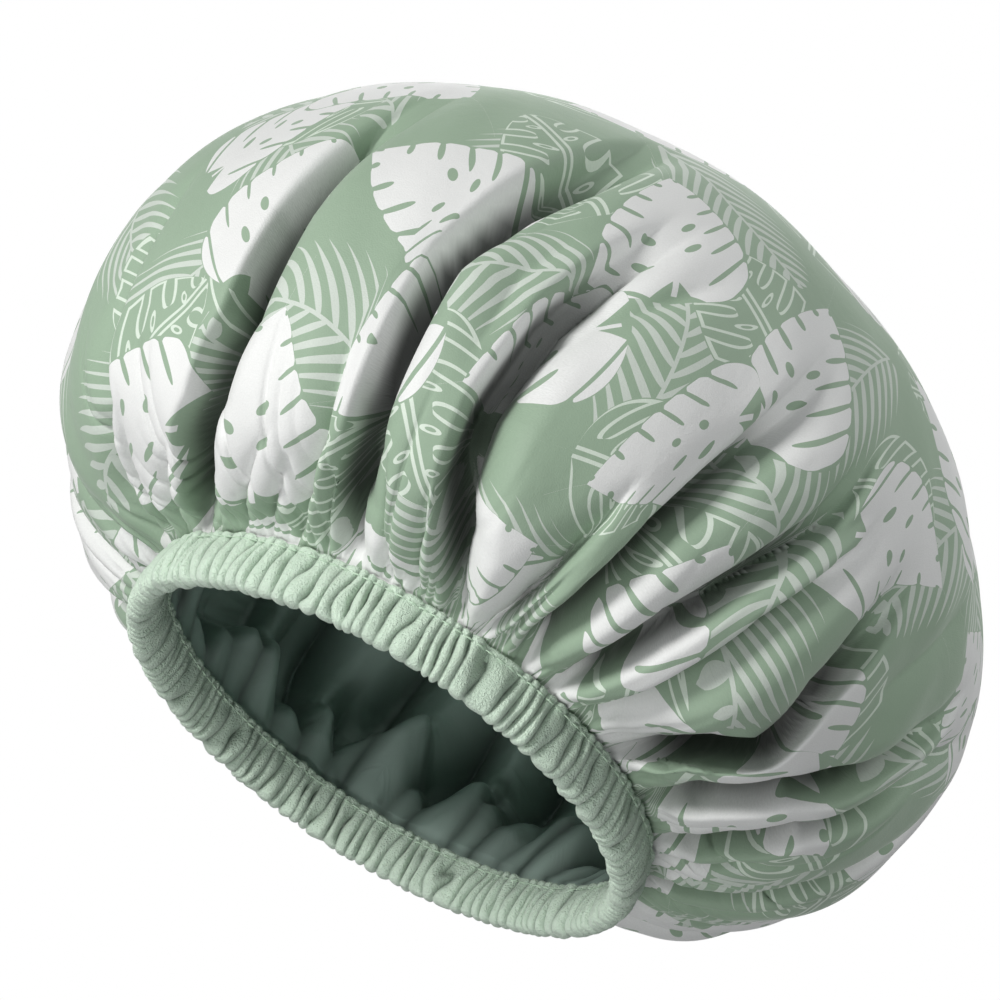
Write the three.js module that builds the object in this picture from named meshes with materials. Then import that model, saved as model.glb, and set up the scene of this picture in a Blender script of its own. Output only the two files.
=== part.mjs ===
// A lined shower cap with a gathered elastic casing round its opening.
// Millimetres. +Z runs up through the crown, +X to the wearer's side, +Y to the back of the opening.
// The origin is the middle of the head opening, in the plane that the casing stands on.
import * as THREE from 'three';

// Head opening, measured along the middle of the gathered casing.
const OPENING_WIDTH = 156;
const OPENING_LENGTH = 170;

// Overall size of the puffed cap, over its outer ridges.
const CAP_WIDTH = 280;
const CAP_LENGTH = 283;
const CAP_HEIGHT = 197;
const WIDEST_HEIGHT = 87;
const CROWN_SHIFT_SIDE = -7;
const CROWN_SHIFT_BACK = 7;
const CROWN_EXPONENT = 1.05;

// Cloths, tape and sewing thread.
const SHELL_CLOTH = 0.8;
const LINING_CLOTH = 0.6;
const CASING_CLOTH = 1.0;
const ELASTIC_THICKNESS = 0.8;
const ELASTIC_WIDTH = 8.6;
const ELASTIC_LAP = 14;
const SEAM_THREAD = 0.6;
const JOIN_THREAD = 0.3;
const CLEARANCE = 0.3;

// Casing: how deep the cloth edges are tucked in, the lip above the stitch line, and the gathers.
const SEAM_TUCK = 5.8;
const LIP_HEIGHT = 2.4;
const LIP_FLARE = 0.3;
const RIB_COUNT = 100;
const RIB_DEPTH = 0.9;
const UNDERSIDE_CUT = 0.5;
const STRIP_LAP = 16;
const STRIP_LAP_ANGLE = -164;
const ELASTIC_LAP_ANGLE = 90;
const PUFF_HEIGHT_SHARE = 0.42;
const GROOVE_RIB_SHARE = 0.35;
const BASE_RIB_SHARE = 0.45;
const RIB_UNEVEN_SHARE = 0.35;

// Flare of the shell from the casing to its widest row, as shares of that rise and that spread.
const FLARE_OUT_SHARE = 0.64;
const FLARE_UP_SHARE = 0.043;
const FLARE_BELLY_SHARE = 0.74;
const FLARE_ROW_SHARES = [0.13, 0.32, 0.54, 0.78, 1];
const CROWN_ROW_ANGLES = [14, 30, 49, 72];

// Folds of the shell. Each valley leaves the casing at one angle, anticlockwise from +X, drifts
// round on its way up, and fades out part of the way to the crown.
const FOLD_DEPTH = 16;
const SHOULDER_SHARE = 0.3;
const SHOULDER_DROP_SHARE = 0.1;
const OPEN_REACH_SHARE = 0.88;
const BILLOW_SHARE = 0.6;
const FOLD_START_SHARE = 0.06;
const FOLD_HOLD_SHARE = 0.45;
const FOLDS = [
  { at: -172, drift: 18, depthShare: 0.6, reachShare: 0.4 },
  { at: -154, drift: 23, depthShare: 1, reachShare: 0.56 },
  { at: -127, drift: 10, depthShare: 0.5, reachShare: 0.28 },
  { at: -114, drift: 8, depthShare: 1, reachShare: 0.66 },
  { at: -92, drift: -3, depthShare: 1, reachShare: 0.56 },
  { at: -87, drift: 3, depthShare: 0.55, reachShare: 0.28 },
  { at: -77, drift: 5, depthShare: 0.65, reachShare: 0.48 },
  { at: -70, drift: 8, depthShare: 0.7, reachShare: 0.44 },
  { at: -61, drift: 4, depthShare: 0.6, reachShare: 0.4 },
  { at: -51, drift: 1, depthShare: 1, reachShare: 0.38 },
  { at: -36, drift: 7, depthShare: 0.75, reachShare: 0.38 },
  { at: -20, drift: -6, depthShare: 0.55, reachShare: 0.3 },
  { at: 2, drift: -13, depthShare: 0.75, reachShare: 0.34 },
  { at: 22, drift: -3, depthShare: 0.6, reachShare: 0.4 },
  { at: 43, drift: -8, depthShare: 0.9, reachShare: 0.52 },
  { at: 56, drift: 4, depthShare: 0.55, reachShare: 0.3 },
  { at: 70, drift: 3, depthShare: 0.75, reachShare: 0.46 },
  { at: 88, drift: -5, depthShare: 1, reachShare: 0.56 },
  { at: 102, drift: 2, depthShare: 0.55, reachShare: 0.3 },
  { at: 119, drift: -6, depthShare: 0.9, reachShare: 0.5 },
  { at: 133, drift: -3, depthShare: 0.6, reachShare: 0.34 },
  { at: 149, drift: -8, depthShare: 0.9, reachShare: 0.52 },
  { at: 163, drift: -3, depthShare: 0.55, reachShare: 0.32 },
  { at: 177, drift: -6, depthShare: 0.75, reachShare: 0.44 },
];

// Casing section, worked out from what it holds. Offsets are from the middle line of the casing.
const throatHalf = (SHELL_CLOTH + LINING_CLOTH + 3 * CLEARANCE) / 2;
const pocketHalf = ELASTIC_THICKNESS + JOIN_THREAD + 2 * CLEARANCE;
const puffHalf = pocketHalf + CASING_CLOTH + RIB_DEPTH;
const grooveHalf = throatHalf + CASING_CLOTH + RIB_DEPTH * GROOVE_RIB_SHARE;
const lipHalf = grooveHalf + LIP_FLARE;
const baseHalf = pocketHalf + CASING_CLOTH;
const pocketFloor = CASING_CLOTH + UNDERSIDE_CUT;
const elasticBottom = pocketFloor + CLEARANCE;
const elasticTop = elasticBottom + ELASTIC_WIDTH;
const clothEdge = elasticTop + CLEARANCE;
const casingTop = clothEdge + SEAM_TUCK;
const stitchHeight = casingTop - LIP_HEIGHT;
const puffHeight = stitchHeight * PUFF_HEIGHT_SHARE;
const shellOffset = throatHalf - CLEARANCE;
const meanOpening = (OPENING_WIDTH + OPENING_LENGTH) / 4;

const radians = THREE.MathUtils.degToRad;
const fullTurn = 360;

// A point at an angle round the opening, some way outside or inside the casing's middle line.
function loopPoint(angle, offset, height) {
  const turn = radians(angle);
  return new THREE.Vector3(
    (OPENING_WIDTH / 2 + offset) * Math.cos(turn),
    (OPENING_LENGTH / 2 + offset) * Math.sin(turn),
    height,
  );
}

function outwardAt(angle) {
  return new THREE.Vector3(Math.cos(radians(angle)), Math.sin(radians(angle)), 0);
}

// The degrees that a length takes up along the casing.
function degreesFor(length) {
  return THREE.MathUtils.radToDeg(length / meanOpening);
}

function angleBetween(a, b) {
  const turn = (((a - b) % fullTurn) + fullTurn) % fullTurn;
  return Math.min(turn, fullTurn - turn);
}

// A surface made of closed rows of points. A place is a point's share of the way round its row.
class Skin {
  constructor() {
    this.points = [];
    this.faces = [];
  }

  addPoint(point) {
    this.points.push(point);
    return this.points.length - 1;
  }

  addRow(points, places) {
    return { ids: points.map((point) => this.addPoint(point)), places };
  }

  // Joins two rows, which may differ in count, by the edge that leans the least at each step.
  bridge(lower, upper) {
    const placeAt = (row, step) => {
      const count = row.ids.length;
      return row.places[step % count] + Math.floor(step / count);
    };
    const idAt = (row, step) => row.ids[step % row.ids.length];
    let low = 0;
    let up = 0;
    while (low < lower.ids.length || up < upper.ids.length) {
      const lowLean = Math.abs(placeAt(lower, low + 1) - placeAt(upper, up));
      const upLean = Math.abs(placeAt(upper, up + 1) - placeAt(lower, low));
      if (up >= upper.ids.length || (low < lower.ids.length && lowLean <= upLean)) {
        this.faces.push([idAt(lower, low), idAt(lower, low + 1), idAt(upper, up)]);
        low += 1;
      } else {
        this.faces.push([idAt(lower, low), idAt(upper, up + 1), idAt(upper, up)]);
        up += 1;
      }
    }
  }

  closeAt(row, point) {
    const tip = this.addPoint(point);
    row.ids.forEach((id, index) => {
      this.faces.push([id, row.ids[(index + 1) % row.ids.length], tip]);
    });
  }

  // Turns every face that was added since the mark the other way round.
  flipSince(mark) {
    for (let index = mark; index < this.faces.length; index += 1) this.faces[index].reverse();
  }

  toMesh(name, color, roughness) {
    const geometry = new THREE.BufferGeometry();
    const positions = this.points.flatMap((point) => point.toArray());
    geometry.setAttribute('position', new THREE.Float32BufferAttribute(positions, 3));
    geometry.setIndex(this.faces.flat());
    geometry.computeVertexNormals();
    const material = new THREE.MeshStandardMaterial({ color, roughness, metalness: 0 });
    const mesh = new THREE.Mesh(geometry, material);
    mesh.name = name;
    return mesh;
  }
}

// Profile of the shell's outer face, from the tucked edge up to just below the crown. The width
// and the length of the cap have their own reach at each height.
function profilePoints() {
  const collar = casingTop + CLEARANCE;
  const rise = WIDEST_HEIGHT - collar;
  const rows = [
    { height: clothEdge, x: OPENING_WIDTH / 2 + shellOffset, y: OPENING_LENGTH / 2 + shellOffset },
    { height: collar, x: OPENING_WIDTH / 2 + shellOffset, y: OPENING_LENGTH / 2 + shellOffset },
  ];
  const flareReach = (start, widest, share) => new THREE.CubicBezierCurve(
    new THREE.Vector2(start, collar),
    new THREE.Vector2(start + (widest - start) * FLARE_OUT_SHARE, collar + rise * FLARE_UP_SHARE),
    new THREE.Vector2(widest, WIDEST_HEIGHT - rise * FLARE_BELLY_SHARE),
    new THREE.Vector2(widest, WIDEST_HEIGHT),
  ).getPoint(share);
  FLARE_ROW_SHARES.forEach((share) => {
    const across = flareReach(rows[1].x, CAP_WIDTH / 2, share);
    const along = flareReach(rows[1].y, CAP_LENGTH / 2, share);
    rows.push({ height: across.y, x: across.x, y: along.x });
  });
  CROWN_ROW_ANGLES.forEach((angle) => {
    const spread = Math.cos(radians(angle)) ** CROWN_EXPONENT;
    const climb = Math.sin(radians(angle)) ** CROWN_EXPONENT;
    rows.push({
      height: WIDEST_HEIGHT + (CAP_HEIGHT - WIDEST_HEIGHT) * climb,
      x: (CAP_WIDTH / 2) * spread,
      y: (CAP_LENGTH / 2) * spread,
    });
  });
  return rows;
}

// Adds to each profile row its share of the way from casing to crown, the crown's sideways shift,
// and the mitred normal that an offset or a fold follows.
function shellRows() {
  const rows = profilePoints();
  const collar = rows[1].height;
  const flat = rows.map((row) => new THREE.Vector2((row.x + row.y) / 2, row.height));
  flat.push(new THREE.Vector2(0, CAP_HEIGHT));
  const normals = [];
  const lengths = [];
  for (let index = 0; index + 1 < flat.length; index += 1) {
    const step = flat[index + 1].clone().sub(flat[index]);
    lengths.push(step.length());
    normals.push(new THREE.Vector2(step.y, -step.x).normalize());
  }
  const total = lengths.slice(1).reduce((sum, length) => sum + length, 0);
  let travelled = 0;
  rows.forEach((row, index) => {
    const before = normals[Math.max(index - 1, 0)];
    const after = normals[index];
    row.normal = before.clone().add(after).divideScalar(1 + before.dot(after));
    if (index > 1) travelled += lengths[index - 1];
    row.share = travelled / total;
    row.lean = Math.max(0, (row.height - collar) / (CAP_HEIGHT - collar));
  });
  return rows;
}

const SHELL_ROWS = shellRows();

function valleyAngle(index, share) {
  const fold = FOLDS[index % FOLDS.length];
  const turns = Math.floor(index / FOLDS.length) * fullTurn;
  const eased = Math.sin((Math.min(share / fold.reachShare, 1) * Math.PI) / 2);
  return fold.at + fold.drift * eased + turns;
}

// Depth of a valley: it opens just above the casing, holds, and then fades out.
function valleyDepth(index, share) {
  const fold = FOLDS[index % FOLDS.length];
  const opening = Math.min(1, share / FOLD_START_SHARE);
  const hold = fold.reachShare * FOLD_HOLD_SHARE;
  const fading = 1 - THREE.MathUtils.smoothstep(share, hold, fold.reachShare);
  return FOLD_DEPTH * fold.depthShare * opening * fading;
}

function isOpen(index, share) {
  return share < FOLDS[index % FOLDS.length].reachShare * OPEN_REACH_SHARE;
}

// The columns of a row: each valley, with a shoulder on both sides of it until its fold fades out.
function foldColumns(share) {
  return FOLDS.flatMap((_, index) => {
    const parts = [0];
    if (isOpen(index, share)) parts.push(SHOULDER_SHARE);
    if (isOpen(index + 1, share)) parts.push(1 - SHOULDER_SHARE);
    return parts.map((part) => ({ index, part, place: (index + part) / FOLDS.length }));
  });
}

function columnAngle(column, share) {
  const from = valleyAngle(column.index, share);
  const to = valleyAngle(column.index + 1, share);
  return from + (to - from) * column.part;
}

// How far a column lies inside the smooth profile, where ridges sink by a share of their valleys.
function columnSink(column, share, ridgeShare) {
  if (column.part === 0) return valleyDepth(column.index, share);
  const sides = valleyDepth(column.index, share) + valleyDepth(column.index + 1, share);
  return (sides / 2) * ridgeShare;
}

// One face of a cloth that follows the shell, set in by an inset and with its own ridge shares.
function addClothFace(skin, inset, ridgeShare) {
  const rows = SHELL_ROWS.map((row) => {
    const columns = foldColumns(row.share);
    const points = columns.map((column) => {
      const turn = radians(columnAngle(column, row.share));
      const depth = inset + columnSink(column, row.share, ridgeShare);
      return new THREE.Vector3(
        (row.x - depth * row.normal.x) * Math.cos(turn) + CROWN_SHIFT_SIDE * row.lean,
        (row.y - depth * row.normal.x) * Math.sin(turn) + CROWN_SHIFT_BACK * row.lean,
        row.height - depth * row.normal.y,
      );
    });
    return skin.addRow(points, columns.map((column) => column.place));
  });
  const mark = skin.faces.length;
  for (let index = 0; index + 1 < rows.length; index += 1) skin.bridge(rows[index], rows[index + 1]);
  const crown = new THREE.Vector3(CROWN_SHIFT_SIDE, CROWN_SHIFT_BACK, CAP_HEIGHT - inset);
  skin.closeAt(rows[rows.length - 1], crown);
  return { edge: rows[0], mark };
}

// A cloth with an outer and an inner face, joined along its edge inside the casing.
function clothSkin(inset, thickness, ridgeShare) {
  const skin = new Skin();
  const outer = addClothFace(skin, inset, ridgeShare);
  const inner = addClothFace(skin, inset + thickness, ridgeShare);
  skin.flipSince(inner.mark);
  skin.bridge(inner.edge, outer.edge);
  return skin;
}

function outerShell() {
  return clothSkin(0, SHELL_CLOTH, SHOULDER_DROP_SHARE).toMesh('outer_shell', 0xa3bba0, 0.5);
}

function waterproofLining() {
  const inset = SHELL_CLOTH + CLEARANCE;
  return clothSkin(inset, LINING_CLOTH, BILLOW_SHARE).toMesh('waterproof_lining', 0x64786c, 0.35);
}

// The gathers of the casing: how far its face stands back between two ribs, from 0 at a rib's
// crest to 1 in its valley, where ribs differ a little in depth.
function ribSink(index) {
  if (index % 2 === 0) return 0;
  return 1 - RIB_UNEVEN_SHARE * Math.sin(index * index) ** 2;
}

function ribAngle(index) {
  return (index * fullTurn) / (2 * RIB_COUNT);
}

// The strip that the casing is folded from ends in a lap, one cloth thicker on the outer face.
function lapAt(angle) {
  return angleBetween(angle, STRIP_LAP_ANGLE) < degreesFor(STRIP_LAP) / 2 ? CASING_CLOTH / 2 : 0;
}

function ribbedOffset(angle, sink, half, ribShare, side) {
  const reach = half - RIB_DEPTH * ribShare * sink;
  return side > 0 ? reach + lapAt(angle) : -reach;
}

// One ribbed row of the casing, on its outer face (side 1) or its inner face (side -1).
function ribbedRow(skin, half, height, ribShare, side) {
  const points = [];
  const places = [];
  for (let index = 0; index < 2 * RIB_COUNT; index += 1) {
    const angle = ribAngle(index);
    points.push(loopPoint(angle, ribbedOffset(angle, ribSink(index), half, ribShare, side), height));
    places.push(index / (2 * RIB_COUNT));
  }
  return skin.addRow(points, places);
}

// The angles at which the cloths enter the casing, as shares of a turn that start at +X.
function rimPlaces() {
  const places = foldColumns(0).map((column) => {
    const share = columnAngle(column, 0) / fullTurn;
    return share - Math.floor(share);
  });
  return places.sort((a, b) => a - b);
}

function smoothRow(skin, offset, height) {
  const places = rimPlaces();
  return skin.addRow(places.map((place) => loopPoint(place * fullTurn, offset, height)), places);
}

// The casing: a strip folded to a U, open at the top where both cloths enter, with a wider pocket
// for the elastic below. Its rows run once round the section, anticlockwise.
function bandCasing() {
  const skin = new Skin();
  const lipEdge = casingTop - LIP_FLARE;
  const rows = [
    ribbedRow(skin, baseHalf, 0, BASE_RIB_SHARE, 1),
    ribbedRow(skin, puffHalf, puffHeight, 1, 1),
    ribbedRow(skin, grooveHalf, stitchHeight, GROOVE_RIB_SHARE, 1),
    ribbedRow(skin, lipHalf, lipEdge, GROOVE_RIB_SHARE, 1),
    smoothRow(skin, throatHalf, casingTop),
    smoothRow(skin, pocketHalf, elasticTop),
    smoothRow(skin, pocketHalf, pocketFloor),
    smoothRow(skin, -pocketHalf, pocketFloor),
    smoothRow(skin, -pocketHalf, elasticTop),
    smoothRow(skin, -throatHalf, casingTop),
    ribbedRow(skin, lipHalf, lipEdge, GROOVE_RIB_SHARE, -1),
    ribbedRow(skin, grooveHalf, stitchHeight, GROOVE_RIB_SHARE, -1),
    ribbedRow(skin, puffHalf, puffHeight, 1, -1),
    ribbedRow(skin, baseHalf, 0, BASE_RIB_SHARE, -1),
  ];
  rows.forEach((row, index) => skin.bridge(row, rows[(index + 1) % rows.length]));
  return skin.toMesh('band_casing', 0xbfd8bf, 0.9);
}

// The elastic: a flat tape on edge, sewn to a loop, twice as thick where its ends lap.
function elasticTape() {
  const skin = new Skin();
  const inLap = (place) => {
    const away = angleBetween(place * fullTurn, ELASTIC_LAP_ANGLE);
    return away < degreesFor(ELASTIC_LAP) / 2 ? 1 : 0;
  };
  const innerRow = (height) => {
    const places = rimPlaces();
    const points = places.map((place) => (
      loopPoint(place * fullTurn, -ELASTIC_THICKNESS * inLap(place), height)
    ));
    return skin.addRow(points, places);
  };
  const rows = [
    smoothRow(skin, ELASTIC_THICKNESS, elasticBottom),
    smoothRow(skin, ELASTIC_THICKNESS, elasticTop),
    innerRow(elasticTop),
    innerRow(elasticBottom),
  ];
  rows.forEach((row, index) => skin.bridge(row, rows[(index + 1) % rows.length]));
  return skin.toMesh('elastic_tape', 0xf1f0ea, 0.8);
}

// A thread through a list of points, each with the direction that its four-sided section faces.
function threadSkin(stops, diameter, closed) {
  const skin = new Skin();
  const rings = stops.map((stop, index) => {
    const last = stops.length - 1;
    const before = stops[closed ? (index + last) % stops.length : Math.max(index - 1, 0)];
    const after = stops[closed ? (index + 1) % stops.length : Math.min(index + 1, last)];
    const along = after.point.clone().sub(before.point).normalize();
    const aside = along.clone().cross(stop.facing).normalize();
    const out = aside.clone().cross(along);
    const corners = [out, aside, out.clone().negate(), aside.clone().negate()];
    const points = corners.map((corner) => stop.point.clone().addScaledVector(corner, diameter / 2));
    return skin.addRow(points, [0, 0.25, 0.5, 0.75]);
  });
  for (let index = 0; index + 1 < rings.length; index += 1) skin.bridge(rings[index], rings[index + 1]);
  if (closed) {
    skin.bridge(rings[rings.length - 1], rings[0]);
  } else {
    skin.closeAt(rings[rings.length - 1], stops[stops.length - 1].point);
    const mark = skin.faces.length;
    skin.closeAt(rings[0], stops[0].point);
    skin.flipSince(mark);
  }
  return skin;
}

// The seam round the casing: each stitch lies over a rib and dips into the valleys beside it.
function seamThread(name, side) {
  const stops = [];
  for (let index = 0; index < 2 * RIB_COUNT; index += 1) {
    const angle = ribAngle(index);
    const face = ribbedOffset(angle, ribSink(index), grooveHalf, GROOVE_RIB_SHARE, side);
    const offset = face + side * (CLEARANCE + SEAM_THREAD / 2);
    stops.push({ point: loopPoint(angle, offset, stitchHeight), facing: outwardAt(angle) });
  }
  return threadSkin(stops, SEAM_THREAD, true).toMesh(name, 0xb2ccb2, 0.7);
}

// A short upright seam that closes the lap of the casing strip, on the rib nearest to its middle.
function casingJoinThread() {
  const ribStep = fullTurn / RIB_COUNT;
  const angle = Math.round(STRIP_LAP_ANGLE / ribStep) * ribStep;
  const lift = CLEARANCE + SEAM_THREAD / 2;
  const low = puffHeight / 2;
  const high = stitchHeight - SEAM_THREAD - 2 * CLEARANCE;
  const face = (height) => {
    const share = height < puffHeight ? height / puffHeight
      : (stitchHeight - height) / (stitchHeight - puffHeight);
    const half = height < puffHeight ? baseHalf : grooveHalf;
    return half + (puffHalf - half) * share + lapAt(angle);
  };
  const heights = [low, (low + puffHeight) / 2, puffHeight, (puffHeight + high) / 2, high];
  const stops = heights.map((height) => ({
    point: loopPoint(angle, face(height) + lift, height),
    facing: outwardAt(angle),
  }));
  return threadSkin(stops, SEAM_THREAD, false).toMesh('casing_join_thread', 0xb2ccb2, 0.7);
}

// The zigzag that joins the two ends of the elastic, on the inner face of its lap.
function elasticJoinThread() {
  const turns = 8;
  const offset = -(ELASTIC_THICKNESS + CLEARANCE + JOIN_THREAD / 2);
  const middle = (elasticBottom + elasticTop) / 2;
  const swing = ELASTIC_WIDTH / 4;
  const span = degreesFor(ELASTIC_LAP) / 2;
  const stops = [];
  for (let index = 0; index <= turns; index += 1) {
    const angle = ELASTIC_LAP_ANGLE + (index / turns - 1 / 2) * span;
    const height = middle + (index % 2 === 0 ? swing : -swing);
    stops.push({ point: loopPoint(angle, offset, height), facing: outwardAt(angle) });
  }
  return threadSkin(stops, JOIN_THREAD, false).toMesh('elastic_join_thread', 0xe8e8e0, 0.7);
}

const cap = new THREE.Group();
cap.add(
  outerShell(),
  waterproofLining(),
  bandCasing(),
  elasticTape(),
  seamThread('topstitch_outer_thread', 1),
  seamThread('topstitch_inner_thread', -1),
  casingJoinThread(),
  elasticJoinThread(),
);

export default cap;
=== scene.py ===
import math

import bpy
import numpy as np
from mathutils import Matrix, Vector


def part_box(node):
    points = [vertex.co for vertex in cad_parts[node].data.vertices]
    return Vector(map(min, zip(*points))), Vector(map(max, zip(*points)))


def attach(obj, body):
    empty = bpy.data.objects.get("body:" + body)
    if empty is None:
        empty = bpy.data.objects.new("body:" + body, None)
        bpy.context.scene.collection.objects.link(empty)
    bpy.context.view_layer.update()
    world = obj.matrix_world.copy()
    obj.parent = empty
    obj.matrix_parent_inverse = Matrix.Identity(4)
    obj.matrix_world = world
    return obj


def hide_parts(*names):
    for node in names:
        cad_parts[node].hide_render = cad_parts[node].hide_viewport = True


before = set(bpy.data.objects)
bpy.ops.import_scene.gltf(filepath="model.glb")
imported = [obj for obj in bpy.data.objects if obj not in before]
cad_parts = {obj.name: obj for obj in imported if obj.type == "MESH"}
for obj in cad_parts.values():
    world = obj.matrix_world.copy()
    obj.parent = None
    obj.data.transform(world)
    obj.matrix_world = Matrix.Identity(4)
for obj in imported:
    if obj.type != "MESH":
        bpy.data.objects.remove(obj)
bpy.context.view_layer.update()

# Sizes in metres. The casing and the shell take theirs from the frame's boxes.
MM = 0.001
FULL_TURN = 2 * math.pi
CASING_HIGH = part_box("band_casing")[1]
SHELL_LOW, SHELL_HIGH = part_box("outer_shell")
LAP_THICKNESS = 0.5 * MM
PUFF_HALF = 3.6 * MM
OPENING_X = CASING_HIGH.x - PUFF_HALF
OPENING_Y = CASING_HIGH.y - PUFF_HALF
CLOTH_EDGE = SHELL_LOW.z
COLLAR = CASING_HIGH.z + 0.3 * MM
CROWN_TOP = SHELL_HIGH.z
CROWN_SHIFT = (-7 * MM, 7 * MM)
CAP_X = 140 * MM
CAP_Y = 141.5 * MM
WIDEST = 87 * MM
SHELL_OFFSET = 0.85 * MM
COLLAR_X = OPENING_X + SHELL_OFFSET
COLLAR_Y = OPENING_Y + SHELL_OFFSET
SHELL_THICKNESS = 0.6 * MM
LINING_THICKNESS = 0.5 * MM
LINING_GAP = 1.3 * MM

# The meridian bends outwards at these shares of its spread and rise, and has this power above.
FLARE_OUT_SHARE = 0.64
FLARE_UP_SHARE = 0.043
FLARE_BELLY_SHARE = 0.74
CROWN_EXPONENT = 1.05
PROFILE_STEPS = 200

# The photograph's view: the camera looks up into the opening, rolled so that the crown leans right.
TARGET = Vector((0, 0, 75 * MM))
CAMERA_DISTANCE = 0.95
CAMERA_BELOW = math.radians(22.6)
CAMERA_ROLL = math.radians(33.35)
PIXELS_PER_METRE = 3500
PHOTO_SIZE = 1000
TARGET_PIXEL = (507.1, 557.4)
SENSOR = 36

AMBIENT = (0.93, 0.97, 1, 1)
AMBIENT_STRENGTH = 0.1
WHITE = (1, 1, 1, 1)
FLOOR_REACH = 3.0
FLOOR_GREY = (0.7, 0.7, 0.7, 1)
FLOOR_GLOW = 0.45


# Node trees

def operation(name):
    """A method of Term that makes one math node."""
    return lambda self, *others: self.graph.math(name, self, *others)


class Term:
    """A number in a node tree, which adds, multiplies and compares like any number. A mask is a
    term of 0 or 1, and & and | join masks."""

    def __init__(self, graph, socket):
        self.graph, self.socket = graph, socket

    __add__ = operation("ADD")
    __sub__ = operation("SUBTRACT")
    __mul__ = __and__ = operation("MULTIPLY")
    __truediv__ = operation("DIVIDE")
    __pow__ = operation("POWER")
    __lt__ = operation("LESS_THAN")
    __gt__ = operation("GREATER_THAN")
    __abs__ = operation("ABSOLUTE")
    __or__ = at_least = operation("MAXIMUM")
    at_most = operation("MINIMUM")
    fraction = operation("FRACT")

    def __rsub__(self, other):
        return self.graph.math("SUBTRACT", other, self)

    def root(self):
        return self.graph.math("SQRT", self.at_least(0.0))


class Graph:
    """The nodes of a material or a world."""

    def __init__(self, owner):
        owner.use_nodes = True
        self.owner, self.tree = owner, owner.node_tree

    def feed(self, socket, value):
        """Link a term or an output to an input, or set the input's own number or colour."""
        if isinstance(value, Term):
            value = value.socket
        if isinstance(value, bpy.types.NodeSocket):
            self.tree.links.new(value, socket)
        elif value is not None:
            socket.default_value = value

    def fill(self, node, **named):
        """Set what is named: an input where the name has a capital, and a setting elsewhere."""
        for name, value in named.items():
            if name[0].isupper():
                self.feed(node.inputs[name.replace("_", " ")], value)
            else:
                setattr(node, name, value)
        return node

    def node(self, kind, *inputs, **named):
        """A new node with its first inputs, and what is named."""
        made = self.fill(self.tree.nodes.new("ShaderNode" + kind), **named)
        for socket, value in zip(made.inputs, inputs):
            self.feed(socket, value)
        return made

    def math(self, operation, *inputs, **named):
        return Term(self, self.node("Math", *inputs, operation=operation, **named).outputs[0])

    def mix(self, share, first, second):
        made = self.node("Mix", data_type="RGBA", Factor=share, A=first, B=second)
        return made.outputs["Result"]

    def noise(self, vector, scale, detail=2.0, roughness=0.5):
        made = self.node("TexNoise", Vector=vector, Scale=scale, Detail=detail,
                         Roughness=roughness)
        return Term(self, made.outputs["Fac"])

    def place(self):
        return self.node("TexCoord").outputs["Object"]

    def layer(self, name):
        """The pair of numbers that a UV layer keeps for each place."""
        return self.node("UVMap", uv_map=name).outputs[0]

    def stored(self, name):
        """The first number of that pair."""
        return Term(self, self.node("SeparateXYZ", self.layer(name)).outputs[0])

    def bump(self, height, strength, distance, normal=None):
        made = self.node("Bump", Height=height, Strength=strength, Distance=distance,
                         Normal=normal)
        return made.outputs["Normal"]

    def finish(self, **sockets):
        self.fill(self.tree.nodes["Principled BSDF"], **sockets)
        return self.owner


def material_graph(name):
    return Graph(bpy.data.materials.new(name))


# Camera, floor and light

def photo_axes():
    """Unit vectors of the photograph: towards its right, its top, and back to the camera."""
    back = Vector((0, -math.cos(CAMERA_BELOW), -math.sin(CAMERA_BELOW)))
    side = Vector((1, 0, 0))
    rise = back.cross(side)
    c, s = math.cos(CAMERA_ROLL), math.sin(CAMERA_ROLL)
    return c * side + s * rise, c * rise - s * side, back


def add_camera():
    right, top, back = photo_axes()
    place = TARGET + back * CAMERA_DISTANCE
    middle = PHOTO_SIZE / 2
    aim = (TARGET + right * (middle - TARGET_PIXEL[0]) / PIXELS_PER_METRE
           + top * (TARGET_PIXEL[1] - middle) / PIXELS_PER_METRE)
    away = (place - aim).normalized()
    across = top.cross(away).normalized()
    data = bpy.data.cameras.new("camera")
    data.sensor_width = SENSOR
    data.lens = SENSOR * PIXELS_PER_METRE * CAMERA_DISTANCE / PHOTO_SIZE
    data.clip_start, data.clip_end = 0.05, 20
    camera = bpy.data.objects.new("camera", data)
    turn = Matrix((across, away.cross(across), away)).transposed()
    camera.matrix_world = Matrix.Translation(place) @ turn.to_4x4()
    bpy.context.scene.collection.objects.link(camera)
    bpy.context.scene.camera = camera


def add_lamp(name, direction, distance, size, power, colour=(1, 1, 1)):
    """A square area lamp that shines on the cap from a direction."""
    data = bpy.data.lights.new(name, "AREA")
    data.shape, data.size, data.energy, data.color = "SQUARE", size, power, colour
    lamp = bpy.data.objects.new(name, data)
    towards = Vector(direction).normalized()
    lamp.location = TARGET + towards * distance
    lamp.rotation_mode = "QUATERNION"
    lamp.rotation_quaternion = towards.to_track_quat("Z", "Y")
    lamp.visible_camera = False
    bpy.context.scene.collection.objects.link(lamp)


def add_world():
    """White behind the cap, in reflections too, and a dimmer even light on it."""
    world = bpy.data.worlds.new("studio")
    bpy.context.scene.world = world
    g = Graph(world)
    g.tree.nodes.clear()
    ray = g.node("LightPath").outputs
    mirrored = g.math("MAXIMUM", ray["Is Glossy Ray"], ray["Is Transmission Ray"])
    white = g.math("MAXIMUM", ray["Is Camera Ray"], mirrored)
    ambient = g.node("Background", AMBIENT, AMBIENT_STRENGTH).outputs[0]
    backdrop = g.node("Background", WHITE).outputs[0]
    shown = g.node("MixShader", white, ambient, backdrop).outputs[0]
    g.node("OutputWorld", shown)


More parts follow.
